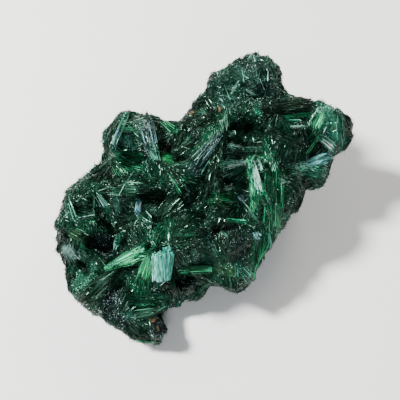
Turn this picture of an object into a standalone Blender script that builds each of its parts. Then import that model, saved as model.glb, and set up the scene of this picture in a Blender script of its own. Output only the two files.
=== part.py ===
"""Rough malachite: one broken, fibrous piece, grown as a single mass and resting on a flat underside.

+X runs along the longest side of the piece, +Y towards its back and +Z up. Sizes are in millimetres until
the finished mesh is scaled to metres. The origin is on the resting plane, below the middle of the piece.
"""
import math
import random

import bmesh
import bpy
import numpy as np
from mathutils import Matrix, Vector, noise

MM = 0.001
LENGTH = 103.0
WIDTH = 75.5
HEIGHT = 47.5
SEED = 11

MALACHITE_COLOUR = (0.012, 0.115, 0.068)
MALACHITE_ROUGHNESS = 0.42

# The sides lean in below the rim, by BASE_INSET and a share of the rim's height, most on the front.
BASE_INSET = 5.0
BASE_UNDERCUT = 0.42
UNDERCUT_EVERYWHERE = 0.45
LARGEST_INSET = 0.6
FRONT = Vector((-0.49, -0.87))
BELOW_BASE = 3.0
BASE_EDGE = 1.0
SIDE_HEIGHT = 0.62
SIDE_FLARE = 0.82
SHOULDER_INSET = 0.25
SHOULDER_RISE = 0.55
TOP_INSET = 0.97

SMOOTH_VOXEL = 0.9
RELIEF_VOXEL = 0.55
TRIANGLES = 9300

NUCLEUS_SPACING = 11.0
BLADES = (10, 16)
BLADE_HEIGHT = 0.5
BLADE_FADE = 5.0
DOMAIN_STEP = 0.8
DOMAIN_TILT = 0.10
LUMP_ROUGHNESS = 0.09
HOLLOW_ROUGHNESS = 0.12
LUMP_WAVES = (1.7, 4.1)
GRAIN_HEIGHT = 0.45
GRAIN_SIZE = 3.5

# A blade's width along its length, the depth of its keel, and how a spray droops at its sides.
BLADE_PROFILE = ((0.0, 0.35), (0.72, 1.0), (1.0, 0.55))
BLADE_DEPTH = 2.2
SPRAY_DROOP = 0.18
ROOT_SINK = 0.4
COLUMN_TAPER = 0.8
COLUMN_FLATNESS = 0.8

# The edge that shows from above, going round from the low left tip: x, y and the height of the edge there.
RIM = [
    (-41, -31, 5), (-44, -26.5, 6), (-46, -20.5, 8), (-48, -16.5, 9), (-49, -8, 10),
    (-51, -4.5, 11), (-51, 1, 12), (-49, 7, 13), (-47, 10, 14), (-46, 15, 15),
    (-43.5, 18, 16), (-38.5, 21, 18), (-33, 27.5, 19), (-29, 28, 20), (-23, 27.5, 21),
    (-14, 27.5, 22), (-10, 30, 23), (-5.5, 35, 24), (-3, 35.5, 25), (5.5, 34, 26),
    (7, 31, 27), (9, 26.5, 28), (11, 19, 30), (16, 14, 32), (23.5, 12.5, 35),
    (30.5, 12.5, 37), (34.5, 16, 37), (36.5, 12.5, 38), (40.5, 10.5, 39), (46, 11.5, 39),
    (48.5, 8, 39), (48, -1, 39), (45, -5, 39), (44, -8.5, 39), (45.5, -15, 37),
    (51.5, -22, 34), (51, -27, 31), (46.5, -30, 29), (41, -31, 28), (36.5, -33.5, 27),
    (31.5, -31.5, 26), (23.5, -33, 25), (16.5, -35.5, 23), (4, -38, 19), (-3, -39, 16),
    (-9.5, -38, 15), (-14.5, -33.5, 15), (-18.5, -26, 13), (-22, -27, 9), (-24.5, -25.5, 8),
    (-34, -25, 7), (-36, -29, 6),
]

# The line under the highest parts, from the low left end to the dome on the right: x, y, z.
SPINE = [(-39, -8, 14), (-32, 4, 17), (-20, 6, 24), (-8, 0, 28), (5, -4, 34), (20, -8, 38), (34, -10, 39)]

# Rounded masses: name, top point, half sizes along x, y and z, turn about z.
LUMPS = [
    ("dome", (38.8, 1.3, 46.5), (9.6, 9.6, 14), 20),
    ("dome_shoulder", (32, 8.5, 42), (5, 6, 9), 0),
    ("right_tip", (44, -25.5, 38), (8, 6.5, 9), -20),
    ("blue_block", (33, -31.5, 31), (3.6, 3, 8), 20),
    ("front_lobe", (-6, -33.5, 23), (8, 5.5, 8), 10),
    ("black_bulge", (-3.5, -28, 30), (8.5, 7, 10), 0),
    ("broad_back", (-12, -18, 33.5), (9, 8, 12), 30),
    ("middle", (3, -2, 38), (9, 7, 10), 0),
    ("left_crest_a", (-35, 16, 24.5), (6.5, 7, 8), 30),
    ("left_crest_b", (-22, 17, 28.5), (7.5, 7.5, 8), 0),
    ("left_crest_c", (-14, 9, 31), (5, 8, 9), 20),
    ("arch_left", (-10.5, 19.5, 31.5), (3, 9.5, 9), -20),
    ("arch_top", (-1, 28, 32), (8, 4.5, 7), 25),
    ("arch_right", (2.5, 16.5, 35.5), (3.4, 10.5, 9), -15),
    ("arch_foot", (-1.5, 5, 35.5), (4, 4, 7), 0),
    ("silver_back", (9, -6.5, 40.5), (9.5, 4, 8), 4),
    ("ridge_right", (29, -7.5, 44), (9, 4.5, 9), -35),
    ("right_mass", (29.5, -20.5, 40.5), (8.5, 6.5, 11), -20),
    ("slope", (18, -29, 33), (11, 6, 10), 10),
    ("left_low", (-44, -3, 16), (7, 10, 7), 0),
    ("left_mid", (-40, 10, 20.5), (6, 7, 7), 0),
    ("left_back", (-27, 22, 24), (9, 5, 6), 0),
    ("tip_body", (-40, -20, 12), (5.5, 9, 6), -10),
    ("dark_knob", (-39, -27.5, 9), (2.7, 2.5, 3), 0),
    ("black_knob_a", (-22.5, -22.5, 15.5), (5, 4.4, 5.5), 0),
    ("black_knob_b", (-20, -26.5, 12), (3.6, 3.2, 4.5), 0),
    ("black_knob_c", (-27, -23, 12.5), (3.8, 3.4, 4.5), 0),
    ("back_shoulder", (16.5, 4, 39.5), (8, 8, 9), 0),
    ("centre_low", (-20, -7, 28), (7, 6.5, 9), 0),
]

# Hollows: name, centre of the opening, half sizes along x, y and z, turn about z.
HOLLOWS = [
    ("black_pit", (-32.5, 2, 21), (5.8, 3.8, 7.5), 8),
    ("arch_hollow", (-4.5, 14.5, 34), (3.6, 8.2, 9), -18),
    ("dark_recess", (-11.5, -1.5, 31.5), (6, 2.8, 6), 0),
    ("fin_hollow", (21, -10, 43), (5.5, 3.4, 9.5), 35),
    ("fin_foot_hollow", (7.5, -17.5, 38.5), (6.5, 2.4, 7), 35),
    ("emerald_hole", (1.5, -1.5, 38), (2, 1.6, 4), 0),
    ("left_bowl", (-28.5, 12.5, 27.5), (4.8, 3.6, 6), 20),
    ("little_pit", (-42, 3, 18), (2, 2, 4), 0),
    ("shelf", (41, -13.5, 45), (9.5, 5.5, 7), -30),
    ("block_foot", (-25, -14.5, 25), (5.5, 3.2, 7), 45),
    ("back_notch", (14, 16, 36), (3, 5, 6), 0),
]

# Sprays of blades: name, root point, point of the middle blade, spread in degrees, number, blade half width.
SPRAYS = [
    ("green_fan", (-37, -4, 20), (-24.5, -9, 24), 34, 7, 1.1),
    ("second_fan", (-24.5, -9, 24.5), (-31, -17, 18), 46, 6, 1.2),
    ("left_fan", (-35.5, -7, 18.5), (-50.5, -3.5, 12.5), 44, 8, 1.2),
    ("low_fan", (-45, -16, 13), (-34.5, -25, 10), 26, 4, 1.0),
    ("silver_fan", (0.5, -8, 39.5), (16.5, -5.5, 42.5), 20, 5, 1.0),
    ("dark_fin", (18.5, -4.5, 44), (-1, -19, 36.5), 10, 3, 1.5),
    ("white_fan", (18, -18.5, 40.5), (9, -29.5, 32.5), 34, 7, 1.1),
    ("arch_left_blades", (-13, 12, 31.5), (-3.5, 27.5, 33.5), 12, 3, 1.1),
    ("arch_right_blades", (-2, 4, 36), (4.5, 24, 35), 16, 4, 1.1),
    ("ledge_blades", (-21, -19, 21), (-8, -37.5, 17), 24, 5, 1.2),
    ("slope_blades", (23, -20, 38), (12, -33.5, 29), 36, 7, 1.2),
    ("shelf_blades", (30, -10, 44), (44.5, -17.5, 39), 20, 4, 1.3),
    ("tip_fan", (36, -26, 39), (49.5, -22.5, 36), 40, 7, 1.1),
    ("tip_front_fan", (42, -22, 38.5), (46.5, -29.5, 33), 50, 6, 1.1),
    ("emerald_fan", (-4.5, 3, 35.5), (-4.5, -10, 34.5), 40, 7, 1.0),
    ("rim_arch", (-18, 14, 30.5), (-11, 0, 33), 16, 3, 1.2),
    ("dome_fan", (31, -4, 46), (44, 5, 45), 60, 8, 1.2),
    ("dome_side_fan", (33, 0, 46), (35.5, 12, 41), 60, 7, 1.2),
    ("crest_v", (-27.5, 14, 28), (-35, 7, 22), 30, 4, 1.0),
    ("front_lobe_fan", (-3, -28, 29.5), (-8.5, -36, 20), 56, 7, 1.2),
    ("centre_fan", (-1, -17, 36.5), (-3, -26, 31), 50, 6, 1.1),
    ("glint_blades", (30.5, -18, 41.5), (36, -22, 40), 26, 4, 1.0),
]

# Stout mint-coloured columns: name, foot point, top point, half width.
COLUMNS = [
    ("mint_column_low", (-28, -20.5, 15), (-22.5, -14.5, 26.5), 3.2),
    ("mint_column_high", (-24, -18.5, 17), (-18.5, -12.5, 29), 3.2),
    ("thin_chip", (-31.5, -3.5, 20), (-28, 0.5, 24.5), 1.2),
]


def clear_scene():
    for old in list(bpy.data.objects):
        bpy.data.objects.remove(old, do_unlink=True)


def spine_point(x, y):
    """The nearest point on the spine line, seen from above."""
    here = Vector((x, y, 0))
    best = None
    for start, end in zip(SPINE, SPINE[1:]):
        a, b = Vector(start), Vector(end)
        run = (b - a).to_2d()
        share = (here - a).to_2d().dot(run) / run.length_squared
        point = a.lerp(b, min(1.0, max(0.0, share)))
        gap = (point - here).to_2d().length
        if best is None or gap < best[0]:
            best = (gap, point)
    return best[1]


def add_body(bm):
    """The main mass: rings from the flat foot, out to the rim and over to the spine."""
    rings = [[] for _ in range(6)]
    for x, y, z in RIM:
        rim = Vector((x, y, z))
        top = spine_point(x, y)
        inward = (top - rim).to_2d()
        reach = inward.length
        lean = max(0.0, -inward.normalized().dot(FRONT))
        undercut = BASE_UNDERCUT * z * (UNDERCUT_EVERYWHERE + (1 - UNDERCUT_EVERYWHERE) * lean)
        inset = min(LARGEST_INSET * reach, BASE_INSET + undercut)
        foot = rim.to_2d() + inward * (inset / reach)
        rings[0].append(Vector((*foot, -BELOW_BASE)))
        rings[1].append(Vector((*foot, BASE_EDGE)))
        rings[2].append(Vector((*foot.lerp(rim.to_2d(), SIDE_FLARE), z * SIDE_HEIGHT)))
        rings[3].append(rim)
        shoulder = z + SHOULDER_RISE * (top.z - z)
        rings[4].append(Vector((*rim.to_2d().lerp(top.to_2d(), SHOULDER_INSET), shoulder)))
        rings[5].append(Vector((*rim.to_2d().lerp(top.to_2d(), TOP_INSET), top.z)))
    verts = [[bm.verts.new(point) for point in ring] for ring in rings]
    count = len(RIM)
    for lower, upper in zip(verts, verts[1:]):
        for i in range(count):
            j = (i + 1) % count
            bm.faces.new((lower[i], lower[j], upper[j], upper[i]))
    for ring in (verts[0], verts[-1]):
        middle = bm.verts.new(sum((v.co for v in ring), Vector()) / count)
        for i in range(count):
            bm.faces.new((ring[i], ring[(i + 1) % count], middle))


def add_lump(bm, centre, half, turn, detail, roughness):
    """An uneven rounded mass of the given half sizes."""
    made = bmesh.ops.create_icosphere(bm, subdivisions=detail, radius=1.0)["verts"]
    place = Matrix.Translation(centre)
    place @= Matrix.Rotation(math.radians(turn), 4, "Z") @ Matrix.Diagonal((*half, 1.0))
    for vert in made:
        broad = noise.noise(centre + vert.co * LUMP_WAVES[0])
        small = noise.noise(centre + vert.co * LUMP_WAVES[1])
        vert.co = place @ (vert.co * (1.0 + roughness * (2.0 * broad + small)))


def add_sleeve(bm, loops):
    """A closed form through loops of equally many points."""
    verts = [[bm.verts.new(point) for point in loop] for loop in loops]
    count = len(loops[0])
    for lower, upper in zip(verts, verts[1:]):
        for i in range(count):
            j = (i + 1) % count
            bm.faces.new((lower[i], lower[j], upper[j], upper[i]))
    bm.faces.new(verts[0][::-1])
    bm.faces.new(verts[-1])


def add_blade(bm, root, tip, half_width, height, up):
    """One long crystal blade: a keeled form, narrow at its root and blunt at its tip."""
    along = (tip - root).normalized()
    side = along.cross(up).normalized()
    crown = side.cross(along)
    loops = []
    for share, width in BLADE_PROFILE:
        centre = root.lerp(tip, share)
        half = side * half_width * width
        lift = crown * height * width
        loops.append([centre - half, centre + lift, centre + half, centre - lift * BLADE_DEPTH])
    add_sleeve(bm, loops)


def add_spray(bm, rng, root, end, spread, count, half_width):
    """Blades that fan out from one root, alternately long and short."""
    root, end = Vector(root), Vector(end)
    run = end - root
    up = Vector((0, 0, 1))
    up = (up - run.normalized() * up.dot(run.normalized())).normalized()
    for i in range(count):
        angle = math.radians(spread) * (i / (count - 1) - 0.5) + rng.uniform(-0.03, 0.03)
        reach = rng.uniform(0.86, 1.0) if i % 2 else rng.uniform(0.96, 1.08)
        direction = Matrix.Rotation(angle, 3, up) @ run
        tip = root + direction * reach - up * (SPRAY_DROOP * abs(angle) * run.length)
        height = half_width * rng.uniform(0.75, 1.25)
        add_blade(bm, root - up * ROOT_SINK, tip, half_width, height, up)


def add_column(bm, foot, top, half_width):
    """A short square-ended column with bevelled long edges."""
    foot, top = Vector(foot), Vector(top)
    along = (top - foot).normalized()
    side = along.cross(Vector((0, 0, 1))).normalized()
    crown = side.cross(along)
    loops = []
    for centre, width in ((foot, COLUMN_TAPER), (top, 1.0)):
        loop = []
        for k in range(8):
            angle = math.radians(22.5 + 45 * k)
            offset = side * math.cos(angle) + crown * math.sin(angle) * COLUMN_FLATNESS
            loop.append(centre + offset * half_width * width)
        loops.append(loop)
    add_sleeve(bm, loops)


def mesh_object(name, bm):
    bmesh.ops.recalc_face_normals(bm, faces=bm.faces)
    mesh = bpy.data.meshes.new(name)
    bm.to_mesh(mesh)
    bm.free()
    obj = bpy.data.objects.new(name, mesh)
    bpy.context.scene.collection.objects.link(obj)
    return obj


def settle(obj):
    """Replace the object's mesh by what its modifiers give, and drop the modifiers."""
    graph = bpy.context.evaluated_depsgraph_get()
    graph.update()
    finished = bpy.data.meshes.new_from_object(obj.evaluated_get(graph))
    obj.modifiers.clear()
    old = obj.data
    obj.data = finished
    bpy.data.meshes.remove(old)


def fuse(obj, voxel):
    """Join all overlapping closed forms of the object into one skin."""
    remesh = obj.modifiers.new("fuse", "REMESH")
    remesh.mode = "VOXEL"
    remesh.voxel_size = voxel
    remesh.adaptivity = 0.0
    settle(obj)


def cut(obj, cutter):
    carve = obj.modifiers.new("cut", "BOOLEAN")
    carve.operation = "DIFFERENCE"
    carve.solver = "EXACT"
    carve.object = cutter
    settle(obj)
    bpy.data.objects.remove(cutter, do_unlink=True)


def append_forms(obj, add):
    """Add more closed forms, made by add(bm), to the object's mesh."""
    bm = bmesh.new()
    bm.from_mesh(obj.data)
    add(bm)
    bm.to_mesh(obj.data)
    bm.free()


def read_points(mesh, source, attribute):
    values = np.empty(len(mesh.vertices) * 3)
    source.foreach_get(attribute, values)
    return values.reshape(-1, 3)


def choose_nuclei(points, rng):
    """Roots of the sprays and seeded points of the skin, all at least one spacing apart."""
    chosen = [np.array(spray[1], dtype=float) for spray in SPRAYS]
    order = list(range(len(points)))
    rng.shuffle(order)
    for index in order[:6000]:
        point = points[index]
        gaps = np.linalg.norm(np.array(chosen) - point, axis=1)
        if gaps.min() > NUCLEUS_SPACING:
            chosen.append(point)
    return np.array(chosen)


def raise_relief(obj, rng):
    """Radiating blades round each nucleus, steps between their domains, and a fine unevenness."""
    mesh = obj.data
    points = read_points(mesh, mesh.vertices, "co")
    normals = read_points(mesh, mesh.vertex_normals, "vector")
    nuclei = choose_nuclei(points, rng)
    gaps = np.linalg.norm(points[:, None, :] - nuclei[None, :, :], axis=2)
    owner = gaps.argmin(axis=1)
    lift = np.zeros(len(points))
    for number, nucleus in enumerate(nuclei):
        own = np.flatnonzero(owner == number)
        step = rng.uniform(-DOMAIN_STEP, DOMAIN_STEP)
        blades = rng.randint(*BLADES)
        phase = rng.uniform(0, math.tau)
        if len(own) == 0:
            continue
        axis = normals[own].mean(axis=0)
        axis /= np.linalg.norm(axis) + 1e-9
        start = np.cross(axis, (0.31, 0.87, 0.39))
        start /= np.linalg.norm(start)
        across = np.cross(axis, start)
        away = points[own] - nucleus
        angle = np.arctan2(away @ across, away @ start) + phase
        radius = np.linalg.norm(away, axis=1)
        wave = np.abs((angle * blades / math.tau) % 1.0 - 0.5) * 4.0 - 1.0
        fade = np.minimum(1.0, radius / BLADE_FADE)
        lift[own] = step + wave * fade * BLADE_HEIGHT + (radius - NUCLEUS_SPACING * 0.5) * DOMAIN_TILT
    grain = np.array([noise.fractal(Vector(p) / GRAIN_SIZE, 0.8, 2.0, 3) for p in points])
    lift += grain * GRAIN_HEIGHT
    moved = points + normals * lift[:, None]
    mesh.vertices.foreach_set("co", moved.ravel())
    mesh.update()


def thin_out(obj):
    """Keep the triangles where the form turns and save them where it is even."""
    decimate = obj.modifiers.new("thin out", "DECIMATE")
    decimate.decimate_type = "COLLAPSE"
    decimate.ratio = TRIANGLES / sum(len(face.vertices) - 2 for face in obj.data.polygons)
    decimate.use_collapse_triangulate = True
    settle(obj)


def cut_foot(obj):
    """The flat underside that the piece rests on."""
    bm = bmesh.new()
    bmesh.ops.create_cube(bm, size=1.0)
    depth = 4 * BELOW_BASE
    bmesh.ops.scale(bm, vec=(2 * LENGTH, 2 * LENGTH, depth), verts=bm.verts)
    bmesh.ops.translate(bm, vec=(0, 0, -depth / 2), verts=bm.verts)
    cut(obj, mesh_object("foot_cutter", bm))


def set_true_size(obj):
    """Centre the piece over the origin and give it its measured length, width and height in metres."""
    points = read_points(obj.data, obj.data.vertices, "co")
    low, high = points.min(axis=0), points.max(axis=0)
    middle = (low + high) / 2
    middle[2] = low[2]
    scale = np.array((LENGTH, WIDTH, HEIGHT)) / (high - low) * MM
    obj.data.vertices.foreach_set("co", ((points - middle) * scale).ravel())
    obj.data.update()


def keep_largest(obj):
    """Drop specks that the fusing left apart from the main mass, and split every face into triangles."""
    bm = bmesh.new()
    bm.from_mesh(obj.data)
    bmesh.ops.triangulate(bm, faces=bm.faces)
    left = set(bm.verts)
    groups = []
    while left:
        group = set()
        edge = [left.pop()]
        while edge:
            vert = edge.pop()
            group.add(vert)
            near = {e.other_vert(vert) for e in vert.link_edges} & left
            left -= near
            edge.extend(near)
        groups.append(group)
    main = max(groups, key=len)
    bmesh.ops.delete(bm, geom=[v for v in bm.verts if v not in main], context="VERTS")
    bm.to_mesh(obj.data)
    bm.free()


def malachite_material():
    material = bpy.data.materials.new("malachite")
    material.use_nodes = True
    shader = material.node_tree.nodes["Principled BSDF"]
    shader.inputs["Base Color"].default_value = (*MALACHITE_COLOUR, 1.0)
    shader.inputs["Roughness"].default_value = MALACHITE_ROUGHNESS
    shader.inputs["Metallic"].default_value = 0.0
    material.diffuse_color = (*MALACHITE_COLOUR, 1.0)
    return material


def build_malachite():
    rng = random.Random(SEED)
    bm = bmesh.new()
    add_body(bm)
    for _name, top, half, turn in LUMPS:
        add_lump(bm, Vector(top) - Vector((0, 0, half[2])), half, turn, 4, LUMP_ROUGHNESS)
    piece = mesh_object("malachite", bm)
    fuse(piece, SMOOTH_VOXEL)
    for name, centre, half, turn in HOLLOWS:
        bm = bmesh.new()
        add_lump(bm, Vector(centre), half, turn, 3, HOLLOW_ROUGHNESS)
        cut(piece, mesh_object(name, bm))
    fuse(piece, RELIEF_VOXEL)
    raise_relief(piece, rng)

    def add_crystals(bm):
        for _name, root, end, spread, count, half_width in SPRAYS:
            add_spray(bm, rng, root, end, spread, count, half_width)
        for _name, foot, top, half_width in COLUMNS:
            add_column(bm, foot, top, half_width)
        bmesh.ops.recalc_face_normals(bm, faces=bm.faces)

    append_forms(piece, add_crystals)
    fuse(piece, RELIEF_VOXEL)
    thin_out(piece)
    cut_foot(piece)
    keep_largest(piece)
    set_true_size(piece)
    piece.data.materials.clear()
    piece.data.materials.append(malachite_material())
    return piece


clear_scene()
build_malachite()
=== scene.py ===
"""Looks of the rough malachite: sprays of fine needles over one solid mass, on a pale studio floor.

Lengths are in millimetres, but those of the camera, the lights and the floor are in metres.
"""
import math
import random
from collections import namedtuple

import bmesh
import bpy
import numpy as np
from mathutils import Matrix, Vector, noise
from mathutils.bvhtree import BVHTree


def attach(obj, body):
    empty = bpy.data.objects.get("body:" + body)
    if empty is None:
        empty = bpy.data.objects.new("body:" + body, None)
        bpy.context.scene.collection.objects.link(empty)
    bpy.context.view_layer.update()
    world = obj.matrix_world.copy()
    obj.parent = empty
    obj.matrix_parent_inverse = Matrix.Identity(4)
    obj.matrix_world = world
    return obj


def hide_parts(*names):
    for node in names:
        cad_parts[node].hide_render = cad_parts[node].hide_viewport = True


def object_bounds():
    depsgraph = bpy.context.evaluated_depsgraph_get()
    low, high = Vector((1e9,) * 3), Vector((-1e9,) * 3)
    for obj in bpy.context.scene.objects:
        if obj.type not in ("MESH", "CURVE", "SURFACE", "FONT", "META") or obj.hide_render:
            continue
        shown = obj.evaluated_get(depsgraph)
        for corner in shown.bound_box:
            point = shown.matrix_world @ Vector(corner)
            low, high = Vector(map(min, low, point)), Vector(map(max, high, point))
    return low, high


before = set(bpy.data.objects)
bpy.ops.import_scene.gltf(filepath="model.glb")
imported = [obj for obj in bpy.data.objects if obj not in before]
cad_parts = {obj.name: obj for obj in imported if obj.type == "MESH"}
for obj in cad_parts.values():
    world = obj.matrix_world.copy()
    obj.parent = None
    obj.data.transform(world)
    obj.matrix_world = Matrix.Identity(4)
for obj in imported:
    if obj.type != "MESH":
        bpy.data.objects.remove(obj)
cad_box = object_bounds()

MM = 0.001
SEED = 12

# The photograph's view: a hand-held camera, turned a little clockwise, looking down on the piece.
PHOTO_SIDE = 400
FOCAL_PX = 482.65
SENSOR_MM = 36.0
CLIP_START = 0.005
CAMERA_PLACE = Vector((-0.03998, -0.07097, 0.16211))
CAMERA_AZIMUTH = -32.3
CAMERA_ELEVATION = 62.16
CAMERA_ROLL = -12.91

# A pixel that misses the piece moves in steps towards a pixel well inside its outline.
MIDDLE_PX = (185, 205)
STEP_INWARDS = 0.04
MOST_STEPS = 60
# A point counts as seen if its sight line first meets the mesh no more than this before it, in metres.
SEEN_SLACK = 0.0008
# A small fan is laid from this far above the surface, and reaches down this far.
LOOK_FROM = 5.0
LOOK_REACH = 12.0

# The lights: name, place, size, power and colour. Bright laths turn their faces towards the key light.
KEY_PLACE = np.array((-0.25, 0.42, 0.62))
LIGHTS = [
    ("key", KEY_PLACE, 0.14, 19.0, "#ffffff"),
    ("fill", (-0.35, -0.5, 0.6), 0.5, 3.0, "#eef4ff"),
    ("rim", (0.55, 0.1, 0.35), 0.2, 2.0, "#fff6ea"),
]
LIGHTS_AIM = (0, 0, 0.02)
STUDIO_STRENGTH = 0.26
FLOOR_REACH = 3.0

# The dense mass: points this near are merged, then its mesh size, and how much and how often it is rounded
# off, when it is made and once it is sculpted.
WELD = 0.01
MASS_VOXEL = 0.55
ROUND_OFF = 0.5
FIRST_ROUNDS = 2
LATER_ROUNDS = 1
# Its fine relief: grooves along the fibres, steps between domains, and grain, finer in each octave.
GROOVE_PITCH = 1.5
GROOVE_HEIGHT = 0.12
DOMAIN_STEP = 0.3
GRAIN_HEIGHT = 0.25
GRAIN_SCALE = 1.1
GRAIN_FALL = 0.8
GRAIN_FINER = 2.0
GRAIN_OCTAVES = 3
# The relief fades in over this height above the floor.
RELIEF_FADE = 2.0

# A mark fades out past its half width, with a ragged edge.
MARK_REACH = 1.2
MARK_SHARPNESS = 1.5
MARK_RAGGEDNESS = 0.4
SCULPT_WOBBLE_SCALE = 0.5
FIELD_WOBBLE_SCALE = 0.8
# A ridge or hollow has at least this half width, in pixels, and a rise smaller than this counts as none.
LEAST_RIDGE_HALF_PX = 1.6
LEAST_RISE = 0.05
SMOOTHING_ROUNDS = 3
# From this weight on, a mark turns the fibres, spread no wider than this at its sides. A pixel across it
# counts as this many mm across its grooves, and the steps between domains are lower in it.
LEAST_OWN_WEIGHT = 0.4
WIDEST_SIDE = 1.5
GROOVE_MM_A_PIXEL = 0.38
STEP_LEFT_IN_MARKS = 0.2

# Domains are patches whose fibres fan out from one root, behind and below the middle of the patch.
DOMAIN_SPACING = 8.0
DOMAIN_TRIES = 9000
DOMAIN_EDGE_SCALE = 0.35
DOMAIN_EDGE_SHIFT = 3.0
FAN_ROOT_BEHIND = (8.0, 18.0)
FAN_ROOT_BELOW = (0.0, 3.0)
DOMAIN_SHADE = (0.6, 1.3)

# Needles start above the floor and leave the underside bare.
FLOOR_CLEARANCE = 1.2
COVER_FADE = 3.0
UNDERSIDE_NORMAL = -0.75
UNDERSIDE_SHARPNESS = 2.0
# Cloudy changes of shade, and how the needles painted pale as glints gather in some places.
MOTTLE = 0.5
MOTTLE_SCALE = 0.28
GATHER_MEAN = 0.6
GATHER_SWING = 2.2
GATHER_SCALE = 0.22
GATHER_LIMITS = (0.05, 2.2)
# Needles lie nearly flat. On velvet they stand up more, point every way and are shorter, with more painted
# glints among them.
NEEDLE_LIFT = 0.02
VELVET_LIFT = 0.15
VELVET_JUMBLE = 0.6
VELVET_SHORTER = 0.6
VELVET_PAINTED_GLINTS = 0.04

# What is drawn by lot for each needle, in the order of its seeds: its lean in radians, its stray, its turn,
# its width and length as shares of their means, and a value that the material reads.
NEEDLE_CHANCES = {
    "lean": (-0.1, 0.14),
    "stray": ((-1.0, -1.0, -1.0), (1.0, 1.0, 1.0)),
    "spin": (0.0, math.tau),
    "width": (0.65, 1.35),
    "length": (0.45, 1.3),
    "chance": (0.0, 1.0),
}
# A needle of length 1 is a long three-sided double point, its middle at the origin, thickest near its tip.
NEEDLE_STEM = 0.6
NEEDLE_POINT = 0.4
NEEDLE_WELD = 0.001

# The pieces strewn over the mass. Jitter is how far needles stray from the fibres and Lift how far they stand
# up, in radians. Glints multiplies the share painted pale as glints: none at 0, which is the default, and all
# at 1000. Where names the attribute that says where they grow.
PLAIN_NEEDLES = {"Needles per mm2": 2.0, "Sink mm": 0.02, "Where": "cover"}
STREWN = {
    "needles_long": {**PLAIN_NEEDLES, "Length mm": 5.0, "Width mm": 0.26, "Jitter": 0.05, "Seed": 1},
    "needles_short": {**PLAIN_NEEDLES, "Length mm": 2.2, "Width mm": 0.26, "Jitter": 0.12, "Seed": 2},
    "needles_fine": {**PLAIN_NEEDLES, "Length mm": 3.6, "Width mm": 0.2, "Jitter": 0.08, "Seed": 3},
    # Short pale needles: painted glints, where the fibres would catch the light.
    "needles_painted_glint": {"Needles per mm2": 26.0, "Length mm": 0.95, "Width mm": 0.14, "Jitter": 0.3,
                       "Sink mm": -0.1, "Lift": 0.06, "Glints": 1000.0, "Where": "bright", "Seed": 5},
    "black_crust": {"Needles per mm2": 12.0, "Length mm": 0.4, "Width mm": 0.36, "Jitter": 3.0,
                    "Sink mm": 0.1, "Glints": 1.0, "Where": "crust", "Seed": 4},
}

# A lath: where its sections stand along it, how its width swells from root to tip, its least and largest
# half width, how much of its place it fills, its roll in radians, and its thickness to its width.
STATIONS = (0.0, 0.3, 0.65, 0.93, 1.0)
SWELL = (0.35, 0.6, 0.9, 1.0, 0.4)
LATH_HALF = (0.08, 0.12)
LATH_FILL = 0.6
LATH_ROLL = 0.5
LATH_KEEL = (0.5, 0.9)
# No lath is paler than this, and the material reads this chance from all of them.
LATH_BRIGHTEST = 0.95
LATH_CHANCE = 0.577
# It bends this much with the surface, and is straight where the surface strays further than this from it.
LATH_BEND = 0.6
MOST_STRAY = 2.5
# A lath that is too short is left out, and so is one that stands too far off the surface. A long one shows
# as a wire, and is allowed less.
SHORTEST_LATH = 0.4
LONG_LATH = 8.0
LONG_FREE_SPAN = 1.9
SHORT_FREE_SPAN = 4.0
# How far laths stand off the surface: all, bright ones, single ones, each layer, and by lot.
LATH_LIFT = 0.1
GLEAM_LIFT = 0.5
LONE_LIFT = 0.6
LAYER_LIFT = 0.3
UNEVEN_LIFT = (-0.12, 0.22)

# A fan's outline, in shares of its length: its reach, uneven roots and tips, and layers that draw back.
FAN_REACH = 1.05
UNEVEN_ROOTS = 0.15
UNEVEN_TIPS = 0.4
ROUND_TIPS = 0.12
LAYER_ROOT_BACK = 0.35
LAYER_TIP_BACK = 0.2
SIDE_SHIFT = 0.45
# A fan of fewer laths than this has more even ends.
FRAYED_LATHS = 12
# Laths next to each other share a tone, as one strand, and a fan darkens towards its sides.
LATHS_A_STRAND = 3
STRAND_TONE = 0.6
LATH_TONE = (-0.55, 0.3)
SIDE_DARKENING = 0.4
# Each section of a lath differs in tone at random, partly a painted sheen that comes and goes along the
# fibres.
SPOT_TONE = 0.3
# How a finish that glints makes its laths gleam: flatter, turned to the light and more uneven in tone, the
# uneven tone being painted sheen.
GLEAM_A_GLINT = 5.0
MOST_GLEAM = 0.9
GLEAM_ROLL = 0.6
GLEAM_KEEL = 0.5
GLEAM_TONE = 0.4

# The small fans over the rest of the mass, away from the marks, the floor and the underside.
SMALL_FAN_MARKED = 0.3
SMALL_FAN_LOWEST = 5
SMALL_FAN_NORMAL = -0.5
SMALL_FAN_HALF_LENGTH = (2.2, 4.2)
SMALL_FAN_ROOT_HALF = (0.3, 1.0)
SMALL_FAN_TIP_HALF = (1.2, 2.4)
SMALL_FAN_LATHS = 12
SMALL_FAN_CONTRAST = 0.9
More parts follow.
